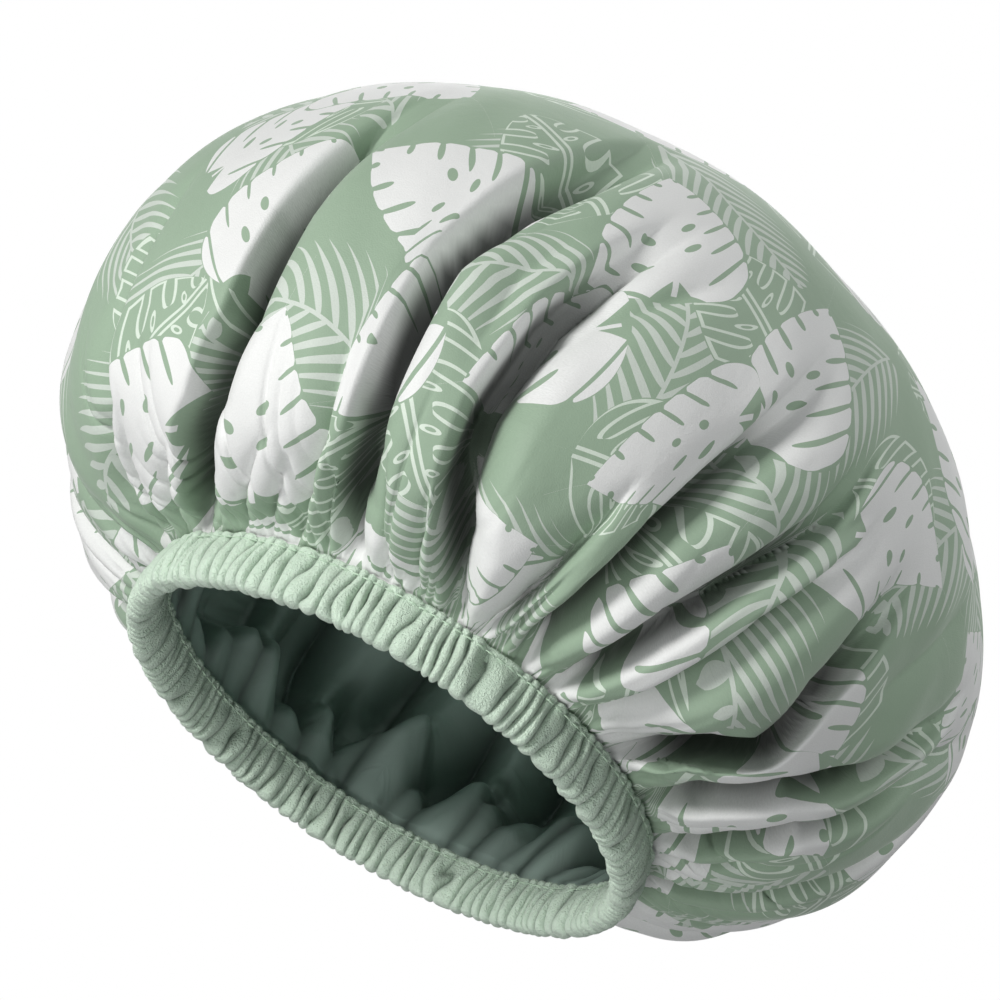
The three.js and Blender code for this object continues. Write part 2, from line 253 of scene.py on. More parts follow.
def add_floor():
    """A pale floor that shows, with the cap's shadow, only from above: from below it is clear.
    It glows a little, so that it looks as pale as in a studio with more lamps."""
    mesh = bpy.data.meshes.new("floor")
    reach = FLOOR_REACH
    corners = [(-reach, -reach, 0), (reach, -reach, 0), (reach, reach, 0), (-reach, reach, 0)]
    mesh.from_pydata(corners, [], [(0, 1, 2, 3)])
    floor = bpy.data.objects.new("floor", mesh)
    bpy.context.scene.collection.objects.link(floor)
    g = material_graph("floor_paper")
    g.tree.nodes.clear()
    seen = g.node("LightPath").outputs["Is Camera Ray"]
    below = g.node("NewGeometry").outputs["Backfacing"]
    shows = g.math("SUBTRACT", seen, below, use_clamp=True)
    clear = g.node("BsdfTransparent").outputs[0]
    paper = g.node("BsdfDiffuse", FLOOR_GREY).outputs[0]
    glow = g.node("Emission", WHITE, FLOOR_GLOW).outputs[0]
    pale = g.node("AddShader", paper, glow).outputs[0]
    face = g.node("MixShader", shows, clear, pale).outputs[0]
    g.node("OutputMaterial", face)
    mesh.materials.append(g.owner)


def add_studio():
    right, top, back = photo_axes()
    add_camera()
    add_world()
    add_floor()
    add_lamp("key", top * 0.65 - right * 0.8 + back * 0.75, distance=1.1, size=0.28, power=9.0,
             colour=(1, 0.99, 0.98))
    add_lamp("fill", back * 0.8 - top * 0.45 - right * 0.35, distance=1.1, size=0.55, power=4.9)
    add_lamp("overhead", (0.55, -0.5, 0.95), distance=1.2, size=0.5, power=6.4)
    add_lamp("behind", (-0.2, 1, 0.9), distance=1.6, size=0.9, power=7.5)


# Shared shape helpers

def smooth(low, high, value):
    share = np.clip((value - low) / (high - low), 0, 1)
    return share * share * (3 - 2 * share)


def between(share, rising, falling, height=1):
    """Height over the shares that lie between the end of rising and the start of falling."""
    return height * smooth(*rising, share) * (1 - smooth(*falling, share))


def turn_between(start, end):
    """The turn from one angle to another, the shorter way round."""
    return (end - start + math.pi) % FULL_TURN - math.pi


def waves(seed, count, turns, rises, angle, share):
    """A smooth random field of unit size that closes on itself round the cap: count waves, with
    between so many turns round it and between so many rises up it."""
    draw = np.random.default_rng(seed)
    around = draw.integers(turns[0], turns[1] + 1, count)
    up = draw.uniform(*rises, count) * draw.choice((-1, 1), count)
    phase = draw.uniform(0, FULL_TURN, count)
    total = sum(np.cos(a * angle + FULL_TURN * u * share + p)
                for a, u, p in zip(around, up, phase))
    return total / math.sqrt(count / 2)


def bezier(start, leave, arrive, end, share):
    back = 1 - share
    return (back ** 3 * start + 3 * back * back * share * leave
            + 3 * back * share * share * arrive + share ** 3 * end)


class Profile:
    """The smooth meridian of the shell, by share of the way from the collar to the crown."""

    def __init__(self):
        share = np.linspace(0, 1, PROFILE_STEPS)
        quarter = share[1:] * math.pi / 2
        x, y = (np.concatenate([
            bezier(start, start + (wide - start) * FLARE_OUT_SHARE, wide, wide, share),
            wide * np.cos(quarter) ** CROWN_EXPONENT,
        ]) for start, wide in ((COLLAR_X, CAP_X), (COLLAR_Y, CAP_Y)))
        rise = WIDEST - COLLAR
        flare = bezier(COLLAR, COLLAR + rise * FLARE_UP_SHARE,
                       WIDEST - rise * FLARE_BELLY_SHARE, WIDEST, share)
        climb = WIDEST + (CROWN_TOP - WIDEST) * np.sin(quarter) ** CROWN_EXPONENT
        z = np.concatenate([flare, climb])
        radius = (x + y) / 2
        travelled = np.cumsum(np.hypot(np.diff(radius), np.diff(z)))
        self.length = travelled[-1]
        self.share = np.concatenate([[0], travelled]) / self.length
        lean, climb = np.gradient(radius), np.gradient(z)
        size = np.hypot(lean, climb)
        self.values = x, y, z, climb / size, -lean / size

    def at(self, share):
        """Half width, half length, height, and the normal's two parts, for each share."""
        return [np.interp(share, self.share, values) for values in self.values]

    def radius(self, share):
        """Mean of the half width and the half length, one row for each share."""
        return sum(self.at(share)[:2])[:, None] / 2


PROFILE = Profile()


# Folds of the cloth

PATH_SHARES = (0, 0.07, 0.14, 0.22, 0.33, 0.6)
# Each valley: its angle at each of the path shares, its depth in millimetres, the share of the
# way up at which it has faded, its half width and its flat floor's half width in millimetres, and
# how far its bottom slips sideways under one of its walls, as a share of its depth. The near ones
# follow the photograph, and the far ones its manner.
VALLEYS = [
    ((-172, -167, -158, -155, -154, -150), 13, 0.4, 10, 1.5, 0.3),
    ((-154, -143, -136, -132, -132, -128), 28, 0.56, 11, 4.5, -0.35),
    ((-127, -122, -118, -117, -116, -115), 11, 0.24, 10, 0.0, 0.3),
    ((-114, -115, -113, -113, -113, -102), 29, 0.66, 11.5, 5.0, -0.1),
    ((-92, -95, -98, -99, -98, -88), 29, 0.52, 11.5, 5.0, -0.25),
    ((-87, -86, -85, -83, -81, -78), 12, 0.26, 9, 0.5, 0.3),
    ((-77, -78, -78, -77, -73, -66), 21, 0.5, 10, 3.0, -0.2),
    ((-70, -71, -70, -67, -62, -57), 21, 0.46, 10, 3.0, 0.2),
    ((-61, -61, -61, -60, -56, -54), 15, 0.4, 10, 1.5, -0.4),
    ((-51, -51, -48, -51, -50, -48), 33, 0.38, 11, 4.5, 0.62),
    ((-36, -40, -39, -33, -26, -16), 22, 0.4, 10.5, 3.5, 0.4),
    ((-20, -26, -30, -26, -20, -12), 16, 0.34, 10, 2.0, 0.4),
    ((2, -5, -12, -12, -9, -4), 16, 0.34, 10, 1.5, 0.3),
    ((22, 20, 18, 18, 19, 21), 13, 0.4, 10, 1.0, -0.3),
    ((43, 40, 38, 37, 36, 33), 20, 0.52, 10.5, 3.0, 0.4),
    ((56, 58, 60, 60, 61, 62), 12, 0.3, 10, 0.0, 0.3),
    ((70, 71, 71, 72, 73, 74), 16, 0.46, 10, 1.5, -0.4),
    ((88, 85, 84, 83, 82, 84), 22, 0.56, 10.5, 3.5, 0.3),
    ((102, 104, 104, 104, 103, 102), 12, 0.3, 10, 0.0, -0.3),
    ((119, 117, 116, 115, 114, 110), 20, 0.5, 10.5, 3.0, 0.4),
    ((133, 132, 131, 130, 129, 127), 13, 0.34, 10, 1.0, -0.3),
    ((149, 146, 145, 144, 142, 139), 20, 0.52, 10.5, 3.0, 0.3),
    ((163, 162, 161, 160, 158, 156), 12, 0.32, 10, 0.0, -0.3),
    ((177, 175, 174, 173, 171, 168), 16, 0.44, 10, 1.5, 0.3),
]
(VALLEY_ANGLES, VALLEY_DEPTHS, VALLEY_ENDS, VALLEY_WIDTHS, VALLEY_FLOORS,
 VALLEY_LEANS) = (np.array(column, float) for column in zip(*VALLEYS))
# How far the walls of a small fold and of a main valley reach over it, as shares of its depth.
OVERHANG, OPEN_OVERHANG = 0.9, 0.28
# How much steeper a valley's wall is where its bottom slips under it, and the powers that round
# its shoulders and its bottom.
STEEPNESS = 0.15
SHOULDER_POWER, BOTTOM_POWER = 2.4, 0.7
LEAST_HALF_WIDTH = 2 * MM
# A fold's half width at the casing, and what it gains from there to the crown.
VALLEY_NARROW, VALLEY_GAIN = 5.5 * MM, 75 * MM
GATHER_NARROW, GATHER_GAIN, GATHER_WIDEST = 4 * MM, 45 * MM, 8 * MM
PLEAT_HALF_WIDTH = 3.2 * MM
# A fold has its full depth from the first number, a share of the way up, to the second, a share
# of the height at which it ends.
VALLEY_FULL, GATHER_FULL, PLEAT_FULL = (0.04, 0.4), (0.035, 0.3), (0.015, 0.25)
# Gathers and pleats are random: how far they stray, in pitches, the shares of the way up at which
# they end, and their depths in millimetres. A gather also drifts to the nearer valley and leans.
GATHER_PITCH = 8.8 * MM
GATHER_STRAY, GATHER_ENDS, GATHER_DEPTHS = 0.22, (0.09, 0.24), (5.5, 9.5)
GATHER_DRIFT, GATHER_LEAN = 0.35, 0.35
PLEATS = 160
PLEAT_STRAY, PLEAT_ENDS, PLEAT_DEPTHS = 0.3, (0.08, 0.3), (1.0, 2.8)
PLEAT_SETTLED = 0.1


def gaps_between(paths):
    """The turn from each path to the next one round the cap."""
    return np.diff(np.concatenate([paths, paths[:, :1] + FULL_TURN], axis=1), axis=1)


def widening(share, narrow, gain, widest):
    return np.minimum((narrow + gain * share)[:, None], widest)


def fold_depth(depth, share, full, end):
    """The depth of a fold at each share: nothing at the casing, then full, then fading."""
    return depth * np.clip(share / full[0], 0, 1) * (1 - smooth(end * full[1], end, share))


def fold_level(angle, share, paths, depths, widths, floors=0, leans=0, overhang=OVERHANG):
    """Depth, and sideways pull in metres, of one set of valleys.

    angle is a row of columns and share a column of rows. paths and depths hold a row of valleys
    for each share, in rising order of angle, and the rest is as large or the same for all."""
    radius = PROFILE.radius(share)
    gap = gaps_between(paths)
    each = [np.broadcast_to(values, paths.shape).T[..., None] for values in (
        paths, depths, widths, gap, np.roll(gap, 1, axis=1), floors, leans)]
    sink = np.zeros((len(share), len(angle)))
    pull = np.zeros_like(sink)
    for path, depth, width, after, before, floor, lean in zip(*each):
        away = turn_between(path, angle[None])
        steep = STEEPNESS * np.sign(away) * np.sign(lean)
        room = np.where(away > 0, after, before) * (1 - steep) / 2
        reach = np.maximum(np.minimum(room * radius, width * (1 - steep)), LEAST_HALF_WIDTH)
        flat = np.minimum(floor, reach / 3)
        inside = np.clip(1 - np.maximum(np.abs(away) * radius - flat, 0) / (reach - flat), 0, 1)
        sink += depth * (1 - (1 - inside ** SHOULDER_POWER) ** BOTTOM_POWER)
        pull -= np.sign(away) * overhang * depth * (1 - inside) * inside ** 2
        pull += lean * depth * inside ** 2
    return sink, pull


def main_paths(share):
    """The angle of each main valley at each share, rising from the first to the last."""
    paths = np.array([np.interp(share, PATH_SHARES, angles) for angles in VALLEY_ANGLES]).T
    return np.radians(paths)


def main_depths(share):
    return fold_depth(VALLEY_DEPTHS * MM, share[:, None], VALLEY_FULL, VALLEY_ENDS)


def main_folds(angle, share):
    """The deep valleys: narrow at the casing, and wider on their way up."""
    widths = widening(share, VALLEY_NARROW, VALLEY_GAIN, VALLEY_WIDTHS * MM)
    return fold_level(angle, share, main_paths(share), main_depths(share), widths,
                      VALLEY_FLOORS * MM, VALLEY_LEANS, OPEN_OVERHANG)


def gather_folds(angle, share):
    """The gathers between the main valleys, which die out at their own heights."""
    draw = np.random.default_rng(11)
    paths = main_paths(share)
    gap = gaps_between(paths)
    lanes, depths = [], []
    for index in range(len(VALLEYS)):
        count = max(0, round(gap[0, index] * OPENING_X / GATHER_PITCH) - 1)
        for step in range(count):
            place = (step + 1 + draw.uniform(-GATHER_STRAY, GATHER_STRAY)) / (count + 1)
            end = draw.uniform(*GATHER_ENDS)
            side = (place > 0.5) - place
            place = place + GATHER_DRIFT * side * np.clip(share / end, 0, 1) ** 2
            lanes.append(paths[:, index] + place * gap[:, index])
            depths.append(fold_depth(draw.uniform(*GATHER_DEPTHS) * MM, share, GATHER_FULL, end))
    widths = widening(share, GATHER_NARROW, GATHER_GAIN, GATHER_WIDEST)
    leans = draw.uniform(-GATHER_LEAN, GATHER_LEAN, len(lanes))
    return fold_level(angle, share, np.array(lanes).T, np.array(depths).T, widths, leans=leans)


def pleat_folds(angle, share):
    """The small pleats of the stitched edge."""
    draw = np.random.default_rng(12)
    rows = share[:, None]
    stray, count = (-PLEAT_STRAY, PLEAT_STRAY), PLEATS
    start = (np.arange(count) + draw.uniform(*stray, count)) * FULL_TURN / count
    ends = draw.uniform(*PLEAT_ENDS, count) * draw.choice((0.5, 1), count)
    drift = draw.uniform(*stray, count) * FULL_TURN / count
    paths = start + drift * np.clip(rows / PLEAT_SETTLED, 0, 1)
    depths = fold_depth(draw.uniform(*PLEAT_DEPTHS, count) * MM, rows, PLEAT_FULL, ends)
    return fold_level(angle, share, paths, depths, PLEAT_HALF_WIDTH)


# Slack creases across the puff: (angle, share) along each, depth and half width in millimetres.
CREASES = [
    (((-98, 0.28), (-95, 0.32), (-93, 0.36), (-89, 0.40), (-85, 0.45)), 5.5, 10),
    (((-113, 0.31), (-109, 0.36), (-105, 0.41), (-103, 0.49), (-101, 0.6)), 4.5, 10),
    (((-104, 0.26), (-104, 0.34), (-101, 0.4)), 2.5, 8),
    (((-79, 0.22), (-76, 0.29), (-73, 0.34), (-69, 0.41)), 4.0, 11),
    (((-66, 0.2), (-63, 0.28), (-58, 0.36)), 3.5, 10),
    (((-134, 0.3), (-133, 0.38), (-130, 0.46)), 3.0, 10),
    (((-27, 0.24), (-20, 0.31), (-12, 0.38)), 3.5, 11),
    (((-42, 0.26), (-38, 0.34), (-33, 0.42)), 3.0, 10),
    (((20, 0.3), (28, 0.37), (38, 0.42)), 3.0, 11),
    (((95, 0.28), (92, 0.36), (86, 0.44)), 3.5, 11),
    (((140, 0.3), (147, 0.38), (156, 0.44)), 3.0, 10),
]
CREASE_FADE, CREASE_POWER = 0.08, 1.8

# Broad swells of the puff: angle, share, height in millimetres, and half widths in each way.
SWELLS = [
    (-148, 0.57, 3.0, 18, 0.12),
    (-105, 0.7, 1.5, 16, 0.1),
    (168, 0.17, -2.4, 14, 0.08),
    (128, 0.1, 4.4, 22, 0.08),
    (60, 0.09, -5.0, 16, 0.08),
    (10, 0.15, -3.6, 8, 0.08),
    (-9, 0.3, 2.6, 9, 0.1),
]


def swells(angle, share):
    sink = np.zeros((len(share), len(angle)))
    for turn, place, height, wide, tall in SWELLS:
        away = np.degrees(turn_between(math.radians(turn), angle[None]))
        sink -= height * MM * np.exp(-(away / wide) ** 2 - ((share[:, None] - place) / tall) ** 2)
    return sink


def crease_lines(angle, share):
    """Depth of the slack creases, each a soft groove along a bent line."""
    radius = PROFILE.radius(share)
    sink = np.zeros((len(share), len(angle)))
    for line, depth, width in CREASES:
        nearest = np.full_like(sink, 1.0)
        fade = np.zeros_like(sink)
        for index, ((a0, s0), (a1, s1)) in enumerate(zip(line, line[1:])):
            across = turn_between(math.radians(a0), angle[None])
            u, v = across * radius, (share[:, None] - s0) * PROFILE.length
            du, dv = math.radians(a1 - a0) * radius, (s1 - s0) * PROFILE.length
            place = np.clip((u * du + v * dv) / (du * du + dv * dv), 0, 1)
            away = np.hypot(u - place * du, v - place * dv)
            along = (index + place) / (len(line) - 1)
            shown = np.sin(math.pi * (CREASE_FADE + (1 - 2 * CREASE_FADE) * along))
            fade = np.where(away < nearest, shown, fade)
            nearest = np.minimum(nearest, away)
        sink += depth * MM * fade * np.clip(1 - nearest / (width * MM), 0, 1) ** CREASE_POWER
    return sink


SHELL_COLUMNS, SHELL_ROWS, TUCK_ROWS = 1080, 150, 3
ROW_BUNCHING = 1.35
# What keeps the shell from being smooth between its folds, in metres.
SWAY, CRUMPLE, BELLY = 0.8 * MM, 0.35 * MM, 1.6 * MM


def ring_angles(count):
    return np.arange(count) * FULL_TURN / count


def row_shares(count):
    return (np.arange(count) / count) ** ROW_BUNCHING


def shell_folds(angle, share):
    levels = [folds(angle, share) for folds in (main_folds, gather_folds, pleat_folds)]
    sink, pull = (sum(parts) for parts in zip(*levels))
    sink = sink + crease_lines(angle, share) + swells(angle, share)
    turn, rise = angle[None], share[:, None]
    sway = waves(21, 14, (4, 14), (0.3, 1.6), turn, rise)
    crumple = waves(22, 26, (16, 46), (0.8, 5), turn, rise)
    sink = sink + SWAY * between(rise, (0.06, 0.2), (0.5, 0.95)) * sway
    sink = sink + CRUMPLE * between(rise, (0.03, 0.12), (0.3, 0.7)) * crumple
    sink = sink - between(rise, (0.015, 0.05), (0.1, 0.3), BELLY)
    return sink, pull


def place_on_cap(angle, share, sink, pull):
    """Points of a cloth that lies inside the smooth profile by sink and is pulled aside."""
    x, y, z, out, down = (values[:, None] for values in PROFILE.at(share))
    lean = np.clip((z - COLLAR) / (CROWN_TOP - COLLAR), 0, 1)
    turn = angle[None] + pull / ((x + y) / 2)
    return np.stack([
        (x - sink * out) * np.cos(turn) + CROWN_SHIFT[0] * lean,
        (y - sink * out) * np.sin(turn) + CROWN_SHIFT[1] * lean,
        np.broadcast_to(z, sink.shape) - sink * down,
    ], axis=-1)


def with_tuck(points, inset):
    """The rows of a cloth with those of its edge, which runs straight down into the casing."""
    rows = np.repeat(points[:1], TUCK_ROWS, axis=0)
    steps = np.arange(TUCK_ROWS)[:, None]
    rows[..., 2] = CLOTH_EDGE + (COLLAR + inset - CLOTH_EDGE) * steps / TUCK_ROWS
    return np.concatenate([rows, points])


# Mesh making

def grid_faces(first, rows, columns):
    """Quads between the rows of a grid whose rows each close on themselves."""
    low = first + np.arange(rows * columns).reshape(rows, columns)
    low, up = low[:-1], low[1:]
    quads = np.stack([low, np.roll(low, -1, axis=1), np.roll(up, -1, axis=1), up], axis=-1)
    return quads.reshape(-1, 4)


def fan_faces(ring, tip):
    return np.stack([ring, np.roll(ring, -1), np.full(len(ring), tip)], axis=-1)


def make_mesh(name, points, *groups):
    """A smooth mesh from points and groups of faces, each group with one number of corners."""
    mesh = bpy.data.meshes.new(name)
    faces = [face for group in groups for face in group.tolist()]
    mesh.from_pydata(points.tolist(), [], faces, shade_flat=False)
    return mesh


def cloth_mesh(name, points, crown, thickness):
    """A closed cloth: the rows of its outer face, closed at the crown, and an inner face."""
    rows, columns = points.shape[:2]
    round_way = np.roll(points, -1, axis=1) - np.roll(points, 1, axis=1)
    normal = np.cross(round_way, np.gradient(points, axis=0))
    normal /= np.linalg.norm(normal, axis=-1, keepdims=True)
    inner = points - normal * thickness
    under = np.array(crown) - (0, 0, thickness)
    count = rows * columns
    vertices = np.concatenate([points.reshape(-1, 3), [crown], inner.reshape(-1, 3), [under]])
    edge = np.arange(columns)
    after = np.roll(edge, -1)
    rim = np.stack([after, edge, edge + count + 1, after + count + 1], axis=-1)
    last = np.arange(count - columns, count)
    return make_mesh(
        name, vertices, grid_faces(0, rows, columns), grid_faces(count + 1, rows, columns)[:, ::-1],
        rim, fan_faces(last, count), fan_faces(last + count + 1, 2 * count + 1)[:, ::-1])


def add_uv(mesh, name, values):
    """A UV layer from one pair of numbers for each vertex."""
    index = np.zeros(len(mesh.loops), np.int32)
    mesh.loops.foreach_get("vertex_index", index)
    layer = mesh.uv_layers.new(name=name)
    layer.data.foreach_set("uv", values[index].astype(np.float32).ravel())


def add_piece(mesh, material, node):
    piece = bpy.data.objects.new(mesh.name, mesh)
    bpy.context.scene.collection.objects.link(piece)
    mesh.materials.append(material)
    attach(piece, "root")
    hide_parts(node)
    return piece


# Materials

def colour(red, green, blue):
    """A linear colour from the 0 to 255 numbers that a screen shows."""
    def straight(value):
        share = value / 255
        return share / 12.92 if share <= 0.04045 else ((share + 0.055) / 1.055) ** 2.4
    return (straight(red), straight(green), straight(blue), 1)


GROUND = colour(146, 168, 146)
GROUND_PALE = colour(153, 175, 152)
WEAVE_SHADE = colour(120, 132, 120)
LEAF_WHITE = colour(233, 234, 233)
FROND_PALE = colour(203, 212, 203)
LINE_PALE = colour(214, 226, 213)


def leaf_places(g, cloth, pitch, shift, scatter, half_length):
    """The two nearest leaves of a scatter over the cloth, each turned its own way: for each the
    place along and across it, in its own half lengths, and its random number."""
    moved = g.node("VectorMath", cloth, shift, operation="ADD").outputs[0]
    places = []
    for feature in ("F1", "F2"):
        cells = g.node("TexVoronoi", voronoi_dimensions="2D", feature=feature, Vector=moved,
                       Scale=1 / pitch, Randomness=scatter)
        centre = cells.outputs["Position"]
        local = g.node("VectorMath", moved, centre, operation="SUBTRACT").outputs[0]
        draw = g.node("SeparateColor", cells.outputs["Color"]).outputs
        turned = g.node("VectorRotate", rotation_type="Z_AXIS", Vector=local,
                        Angle=Term(g, draw[0]) * FULL_TURN)
        parts = g.node("SeparateXYZ", turned.outputs[0]).outputs
        along, across = (Term(g, part) * (1 / half_length) for part in parts[:2])
        places.append((along, across, Term(g, draw[1])))
    return places


LEAST_BLADE = 0.0005
MARGIN = 1.02
LINE_WIDTH = 0.042


def across_blade(x, y, width, base, tip):
    """Distance from the midrib of a heart-shaped blade, as a share of its half width there. It
    spans from -1 at its base to 1 at its tip, and a smaller power makes that end blunter."""
    widest = (base - tip) / (base + tip)
    scale = width / ((1 + widest) ** base * (1 - widest) ** tip)
    half = (x + 1.0).at_least(0.0) ** base * (1.0 - x).at_least(0.0) ** tip * scale
    return abs(y) / half.at_least(LEAST_BLADE)


def vein_waves(x, y, slant, bend, count, shift=0.0):
    """Distance from the veins, 0 to 0.5 of their pitch, on lines that curve towards the tip. The
    veins of the two sides are half a pitch out of step."""
    side = abs(y)
    along = x - (side * slant + side * side * bend)
    step = (y > 0.0) * 0.5 + (10 + shift)
    return abs((along * count + step).fraction() - 0.5)


def split_leaf(x, y, draw):
    """A heart-shaped leaf with slender slits near its edge, a few holes and a stalk: its mask, and
    the mask of its whole blade."""
    y = y + x * x * 0.14
    across = across_blade(x, y, 0.8, 0.36, 0.95)
    veins = x, y, 0.34, 0.6, 2.7
    wave = vein_waves(*veins)
    lobe = (1.0 - wave * 3.6).at_least(0.0)
    edge = 1.0 - lobe * lobe * 0.1
    inwards = across - (draw * 0.26 + 0.4)
    slit = wave < inwards.root() * (1.25 - across) * 0.4
    tall, wide = (across - 0.27) * 9.0, vein_waves(*veins, shift=0.5) * 6.4
    hole = (tall * tall + wide * wide < 1.0) & (abs(x + 0.2) < 0.36)
    notch = (x < -0.74) & (abs(y) < (-0.74 - x) * 1.1)
    blade = (across < edge) & (1.0 - (slit | hole | notch))
    bow = y - (x + 0.74) ** 2.0 * 0.6
    stalk = (abs(bow) < 0.03) & (x < -0.7) & (x > -0.92)
    return blade | stalk, (across < MARGIN) & (abs(x) < 1.0)


def palm_frond(x, y):
    """A bowed frond, slender curved leaflets along both sides of a thin rib: its mask, and the
    mask of its whole blade."""
    y = y - x * x * 0.25
    across = across_blade(x, y, 0.58, 0.5, 0.6)
    slim = (across + 0.02).root() * ((1.0 - across) * 0.62)
    leaflet = (vein_waves(x, y, 0.8, 0.9, 5.6) < slim) & (across < 1.0)
    rib = (abs(y) < 0.016) & (abs(x) < 1.0)
    return leaflet | rib, across < MARGIN


def line_leaf(x, y):
    """A broad leaf drawn in outline, with looped slits, ringed holes and a double rib: its mask,
    and the mask of its whole blade."""
    across = across_blade(x, y, 0.8, 0.45, 0.72)
    count, slit_start = 2.4, 0.34
    veins = x, y, 0.22, 0.5, count
    slit = (across - slit_start).root() * (1.5 - across) * 0.34
    beside = (vein_waves(*veins) - slit) * (1 / count) + (across < slit_start)
    nearest = ((1.0 - across) * 0.7).at_most(beside)
    outline = (nearest > 0.0) & (nearest < LINE_WIDTH)
    tall, wide = (across - 0.3) * 6.0, vein_waves(*veins, shift=0.5) * 11.0
    ring = (abs(tall * tall + wide * wide - 0.75) < 0.45) & (abs(x) < 0.7)
    rib = (abs(abs(y) - 0.045) < 0.02) & (across < 0.97)
    return outline | ring | rib, across < MARGIN


def printed_satin():
    """Sage satin with a scatter of split leaves over palm fronds and outlined leaves."""
    g = material_graph("printed_satin")
    cloth = g.layer("cloth")
    fronds = leaf_places(g, cloth, 0.066, shift=(0.013, 0.021, 0), scatter=0.5, half_length=0.036)
    (frond, upper), (behind, _) = (palm_frond(x, y) for x, y, _ in fronds)
    frond = frond | (behind & (1.0 - upper))
    drawn = leaf_places(g, cloth, 0.078, shift=(0.31, 0.17, 0), scatter=0.4, half_length=0.027)
    drawn = [line_leaf(x, y) for x, y, _ in drawn]
    lines, drawn_blade = (one | other for one, other in zip(*drawn))
    places = leaf_places(g, cloth, 0.066, shift=(0.57, 0.43, 0), scatter=0.5, half_length=0.0295)
    (leaf, blade), (other_leaf, other_blade) = (split_leaf(*place) for place in places)
    on_top = places[0][2] > places[1][2]
    leaf = leaf & (1.0 - (other_blade & (1.0 - on_top)))
    other_leaf = other_leaf & (1.0 - (blade & on_top))
    ground = g.mix(g.noise(cloth, 9.0, 1.0), GROUND, GROUND_PALE)
    face = g.mix(frond, ground, FROND_PALE)
    face = g.mix(drawn_blade, face, ground)
    face = g.mix(lines, face, LINE_PALE)
    face = g.mix(blade | other_blade, face, ground)
    face = g.mix(leaf | other_leaf, face, LEAF_WHITE)
    weave = g.noise(cloth, 2200.0, 1.0)
    face = g.mix(weave * 0.16, face, WEAVE_SHADE)
    # Painted shade: darker down in the deep valleys and gathers, by how deep they sink.
    face = g.mix(g.stored("recess") * 0.74, face, colour(38, 47, 39))
    normal = g.bump(g.noise(cloth, 160.0, 3.0), 0.2, 0.0012)
    normal = g.bump(weave, 0.6, 0.00014, normal)
    return g.finish(Base_Color=face, Roughness=0.6, Normal=normal, Sheen_Weight=0.12,
                    Sheen_Roughness=0.4, Specular_IOR_Level=0.25)


def lining_satin():
    g = material_graph("lining_satin")
    cloth = g.layer("cloth")
    face = g.mix(g.noise(cloth, 14.0, 2.0), colour(164, 182, 175), colour(186, 210, 198))
    # Painted shade in the creases between the petals.
    face = g.mix(g.stored("recess") * 0.92, face, colour(36, 49, 43))
    normal = g.bump(g.noise(cloth, 120.0, 3.0), 0.2, 0.0012)
    normal = g.bump(g.noise(cloth, 2400.0, 1.0), 0.15, 0.0001, normal)
    return g.finish(Base_Color=face, Roughness=0.34, Normal=normal, Specular_IOR_Level=1.0,
                    Coat_Weight=0.6, Coat_Roughness=0.3)


def casing_velour():
    """Short pile, with painted shade down in the creases."""
    g = material_graph("casing_velour")
    place = g.place()
    crease_shade = g.stored("crease")
    nap = g.noise(place, 600.0, 3.0, 0.65)
    pile = g.noise(place, 1900.0, 2.0, 0.7)
    face = g.mix(g.noise(place, 55.0, 2.0), colour(218, 240, 219), colour(229, 249, 230))
    face = g.mix(nap * 0.45, face, colour(186, 214, 188))
    face = g.mix(pile * 0.5, face, colour(234, 251, 234))
    # Painted shade in the creases between the gathers.
    face = g.mix(crease_shade * crease_shade * 0.9, face, colour(66, 90, 70))
    normal = g.bump(pile, 1.0, 0.0008, g.bump(nap, 0.8, 0.0007))
    return g.finish(Base_Color=face, Roughness=0.9, Normal=normal, Sheen_Weight=0.35,
                    Sheen_Roughness=0.45, Specular_IOR_Level=0.2)


def sewing_thread(name, shade):
    g = material_graph(name)
    twist = g.noise(g.place(), 3500.0, 2.0)
    face = g.mix(twist * 0.4, shade, colour(150, 176, 152))
    normal = g.bump(twist, 0.4, 0.0001)
    return g.finish(Base_Color=face, Roughness=0.6, Normal=normal, Sheen_Weight=0.2)


def knitted_elastic():
    g = material_graph("knitted_elastic")
    place = g.place()
    rows = g.node("TexWave", wave_type="BANDS", bands_direction="Z", Vector=place, Scale=320.0)
    face = g.mix(g.noise(place, 900.0, 2.0) * 0.5, colour(238, 237, 230), colour(214, 213, 204))
    normal = g.bump(rows.outputs["Fac"], 0.5, 0.0003)
    return g.finish(Base_Color=face, Roughness=0.8, Normal=normal)


# The outer shell and the lining

# The print keeps its scale at this share of the way up, with a slight stretch.
PRINT_LEVEL, PRINT_STRETCH = 0.33, 1.08
# It jumps within this width across a main valley that is deeper than the start, and jumps in full
# once the valley is deeper by the gain.
JUMP, JUMP_START, JUMP_GAIN = 0.9 * MM, 4 * MM, 5 * MM
# Further up the jumps are blurred over a turn in radians, and then it lies as on the flat cloth.
PRINT_BLUR, PRINT_SOFTENS, PRINT_SETTLES = 0.12, (0.3, 0.5), (0.55, 0.95)
# The part of the print that runs down into the casing, as a share of the way up.
TUCKED_SHARE = -0.006
# The depths at which the painted shade of a recess starts and is darkest.
RECESS_STARTS, RECESS_FULL = 5 * MM, 16 * MM


